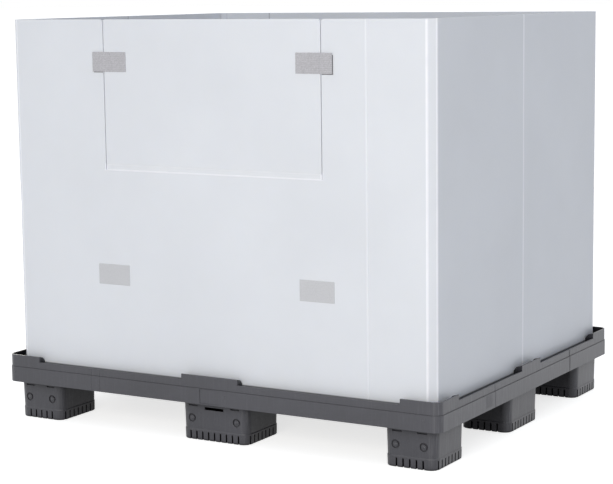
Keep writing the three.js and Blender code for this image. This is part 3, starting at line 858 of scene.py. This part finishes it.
def hook_patch(name, box, material, sizes, node):
    """A hook tape patch: a woven base with rows of small posts, its edge pressed thin."""
    (x0, _, z0), (x1, _, z1) = box
    face = SLEEVE[0][1]
    proud = face - box[0][1]
    post = sizes.post_height / MM
    pitch = sizes.hook_pitch / MM
    base = proud - post
    columns, levels = pressed_stops(x0, x1, 8), pressed_stops(z0, z1, 5)

    def place(x, level, inside):
        rim = x in (x0, x1) or level in (z0, z1)
        return (x, face - (0.02 if inside else base - 0.3 * rim), level)

    obj = double_sheet(name, columns, levels, place, [material, material])
    work = bmesh.new()
    work.from_mesh(obj.data)
    across = int((x1 - x0 - 2.4) / pitch)
    up = int((z1 - z0 - 2.4) / pitch)
    for i in range(across + 1):
        for j in range(up + 1):
            x = (x0 + x1) / 2 + (i - across / 2) * pitch
            z = (z0 + z1) / 2 + (j - up / 2) * pitch
            foot, tip = pitch * 0.34, pitch * 0.2
            low, top = [
                [work.verts.new(Vector((x + half * a, y, z + half * b)) * MM)
                 for a, b in ((-1, -1), (1, -1), (1, 1), (-1, 1))]
                for half, y in ((foot, face - base + 0.05), (tip, face - proud))]
            for k in range(4):
                work.faces.new((low[k], low[(k + 1) % 4], top[(k + 1) % 4], top[k]))
            work.faces.new(top)
            work.faces.new(low[::-1])
    work.to_mesh(obj.data)
    work.free()
    obj.data.polygons.foreach_set("use_smooth", [False] * len(obj.data.polygons))
    finish_piece(obj, "box", "hook_tape", node)


class PALLETBOX_OT_tapes(bpy.types.Operator):
    """Straps on the door, and the hook patches on the fixed wall"""
    bl_idname = "palletbox.tapes"
    bl_label = "Hook-and-loop tapes"

    def execute(self, context):
        finish, sizes = context.scene.pallet_box_finish, context.scene.pallet_box_sizes
        loops = loop_tape(finish.strap)
        hooks = hook_tape("woven_hook_tape", finish.patch)
        # Painted shadow: this dark hook tape stands for the shadow under the straps' free ends.
        shadow_dark_hooks = hook_tape("hook_tape_dark_as_shadow", finish.shadow_dark_patch)
        for side, rise in (("left", 0.5), ("right", sizes.strap_rise / MM)):
            strap_piece(side, loops, rise)
            # Painted shadow: each strap's dark hook patch shows below it, and past the right
            # strap's free end, standing for the shadow under the lifted strap.
            (x0, y0, z0), (x1, y1, z1) = HOOKS[side]
            beside = PATCH_SHADOW_BESIDE if side == "right" else 0.0
            shown = ([x0, y0, z0 - PATCH_SHADOW_BELOW + rise], [x1 + beside, y1, z1])
            hook_patch(f"hook_patch_{side}", shown, shadow_dark_hooks, sizes, f"strap_hook_{side}")
            hook_patch(f"rest_hook_patch_{side}", RESTS[side], hooks, sizes,
                       f"rest_patch_{side}")
        return {"FINISHED"}


def area_light(name, place, target, size, power, colour):
    """A large soft light at place, facing target."""
    light = bpy.data.lights.new(name, "AREA")
    light.shape = "RECTANGLE"
    light.size, light.size_y = size
    light.energy = power
    light.color = colour[:3]
    obj = bpy.data.objects.new(name, light)
    obj.location = place
    obj.rotation_euler = (Vector(target) - Vector(place)).to_track_quat("-Z", "Y").to_euler()
    bpy.context.collection.objects.link(obj)
    return obj


def seen_white(tree):
    """1 for rays that should see plain white: from the camera, mirrored or let through."""
    path = add_node(tree, "ShaderNodeLightPath")
    direct = add_node(tree, "ShaderNodeMath",
                      {0: path.outputs["Is Camera Ray"], 1: path.outputs["Is Glossy Ray"]},
                      operation="MAXIMUM")
    return add_node(tree, "ShaderNodeMath",
                    {0: direct.outputs[0], 1: path.outputs["Is Transmission Ray"]},
                    operation="MAXIMUM").outputs[0]


def studio_room(settings):
    """A world that lights evenly and is seen as plain white."""
    world = bpy.data.worlds.new("studio_room")
    world.use_nodes = True
    tree = world.node_tree
    tree.nodes.clear()
    room = add_node(tree, "ShaderNodeBackground",
                    {"Color": settings.room, "Strength": settings.fill})
    white = add_node(tree, "ShaderNodeBackground", {"Color": (1, 1, 1, 1), "Strength": 1.0})
    either = add_node(tree, "ShaderNodeMixShader",
                      {0: seen_white(tree), 1: room.outputs[0], 2: white.outputs[0]})
    add_node(tree, "ShaderNodeOutputWorld", {"Surface": either.outputs[0]})
    return world


def white_floor():
    """Matt white paper under the pallet, lifted to white where it is seen, shadow kept."""
    paper = bpy.data.materials.new("matt_white_floor")
    paper.use_nodes = True
    tree = paper.node_tree
    tree.nodes.clear()
    matt = add_node(tree, "ShaderNodeBsdfDiffuse", {"Color": linear("e6e6e6")})
    lift = add_node(tree, "ShaderNodeMath", {0: seen_white(tree), 1: 0.72}, operation="MULTIPLY")
    glow = add_node(tree, "ShaderNodeEmission",
                    {"Color": (1, 1, 1, 1), "Strength": lift.outputs[0]})
    both = add_node(tree, "ShaderNodeAddShader", {0: matt.outputs[0], 1: glow.outputs[0]})
    add_node(tree, "ShaderNodeOutputMaterial", {"Surface": both.outputs[0]})
    corners = [(x * FLOOR_REACH, y * FLOOR_REACH, -0.5)
               for x, y in ((-1, -1), (1, -1), (1, 1), (-1, 1))]
    return mesh_object("floor", corners, [(0, 1, 2, 3)], [paper])


def photo_camera(settings):
    """The camera as solved from the photo's perspective."""
    camera = bpy.data.cameras.new("camera")
    camera.sensor_fit = "HORIZONTAL"
    camera.sensor_width = 36.0
    camera.lens = settings.lens
    camera.clip_end = 300.0
    az, el, roll = (math.radians(angle) for angle in CAMERA_ANGLES)
    forward = Vector((-math.sin(az) * math.cos(el), math.cos(az) * math.cos(el), -math.sin(el)))
    level_right = Vector((math.cos(az), math.sin(az), 0.0))
    level_up = level_right.cross(forward)
    right = math.cos(roll) * level_right + math.sin(roll) * level_up
    up = -math.sin(roll) * level_right + math.cos(roll) * level_up
    obj = bpy.data.objects.new("camera", camera)
    turn = Matrix((right, up, -forward)).transposed().to_4x4()
    obj.matrix_world = Matrix.Translation(Vector(settings.camera)) @ turn
    bpy.context.collection.objects.link(obj)
    return obj


class PALLETBOX_OT_stage(bpy.types.Operator):
    """White floor and backdrop, soft studio light and the camera"""
    bl_idname = "palletbox.stage"
    bl_label = "Stage"

    def execute(self, context):
        settings = context.scene.pallet_box_stage
        scene = context.scene
        scene.view_settings.view_transform = "Standard"

        scene.world = studio_room(settings)
        white_floor()
        for name, place, target, size, power in (
                ("key", (1.5, -4.9, 1.75), (0.1, -0.3, 0.5), (3.0, 2.4), settings.key),
                ("side", (3.2, 3.6, 0.8), (0.6, 0.0, 0.15), (2.2, 1.4), settings.side),
                ("back", (-3.2, 4.4, 1.8), (-0.2, 0.2, 0.5), (3.0, 2.4), settings.back)):
            area_light(name, place, target, size, power, settings.lamps)
        scene.camera = photo_camera(settings)
        return {"FINISHED"}


class PALLETBOX_PT_pieces(bpy.types.Panel):
    """Pieces of the pallet box and their settings"""
    bl_label = "Pallet box"
    bl_space_type = "VIEW_3D"
    bl_region_type = "UI"
    bl_category = "Pallet box"

    def draw(self, context):
        scene = context.scene
        for group in (scene.pallet_box_finish, scene.pallet_box_sizes, scene.pallet_box_stage):
            column = self.layout.column()
            for key in group.__annotations__:
                column.prop(group, key)
        for step in STEPS:
            self.layout.operator(step.bl_idname)


STEPS = (PALLETBOX_OT_pallet, PALLETBOX_OT_sleeve, PALLETBOX_OT_door, PALLETBOX_OT_tapes,
         PALLETBOX_OT_stage)
CLASSES = (PalletBoxFinish, PalletBoxSizes, PalletBoxStage, *STEPS, PALLETBOX_PT_pieces)


def register():
    for item in CLASSES:
        bpy.utils.register_class(item)
    bpy.types.Scene.pallet_box_finish = PointerProperty(type=PalletBoxFinish)
    bpy.types.Scene.pallet_box_sizes = PointerProperty(type=PalletBoxSizes)
    bpy.types.Scene.pallet_box_stage = PointerProperty(type=PalletBoxStage)


def unregister():
    for name in ("pallet_box_stage", "pallet_box_sizes", "pallet_box_finish"):
        delattr(bpy.types.Scene, name)
    for item in reversed(CLASSES):
        bpy.utils.unregister_class(item)


def main():
    """Builds every piece in order."""
    register()
    bpy.ops.palletbox.pallet()
    bpy.ops.palletbox.sleeve()
    bpy.ops.palletbox.door()
    bpy.ops.palletbox.tapes()
    bpy.ops.palletbox.stage()


if __name__ == "__main__":
    main()
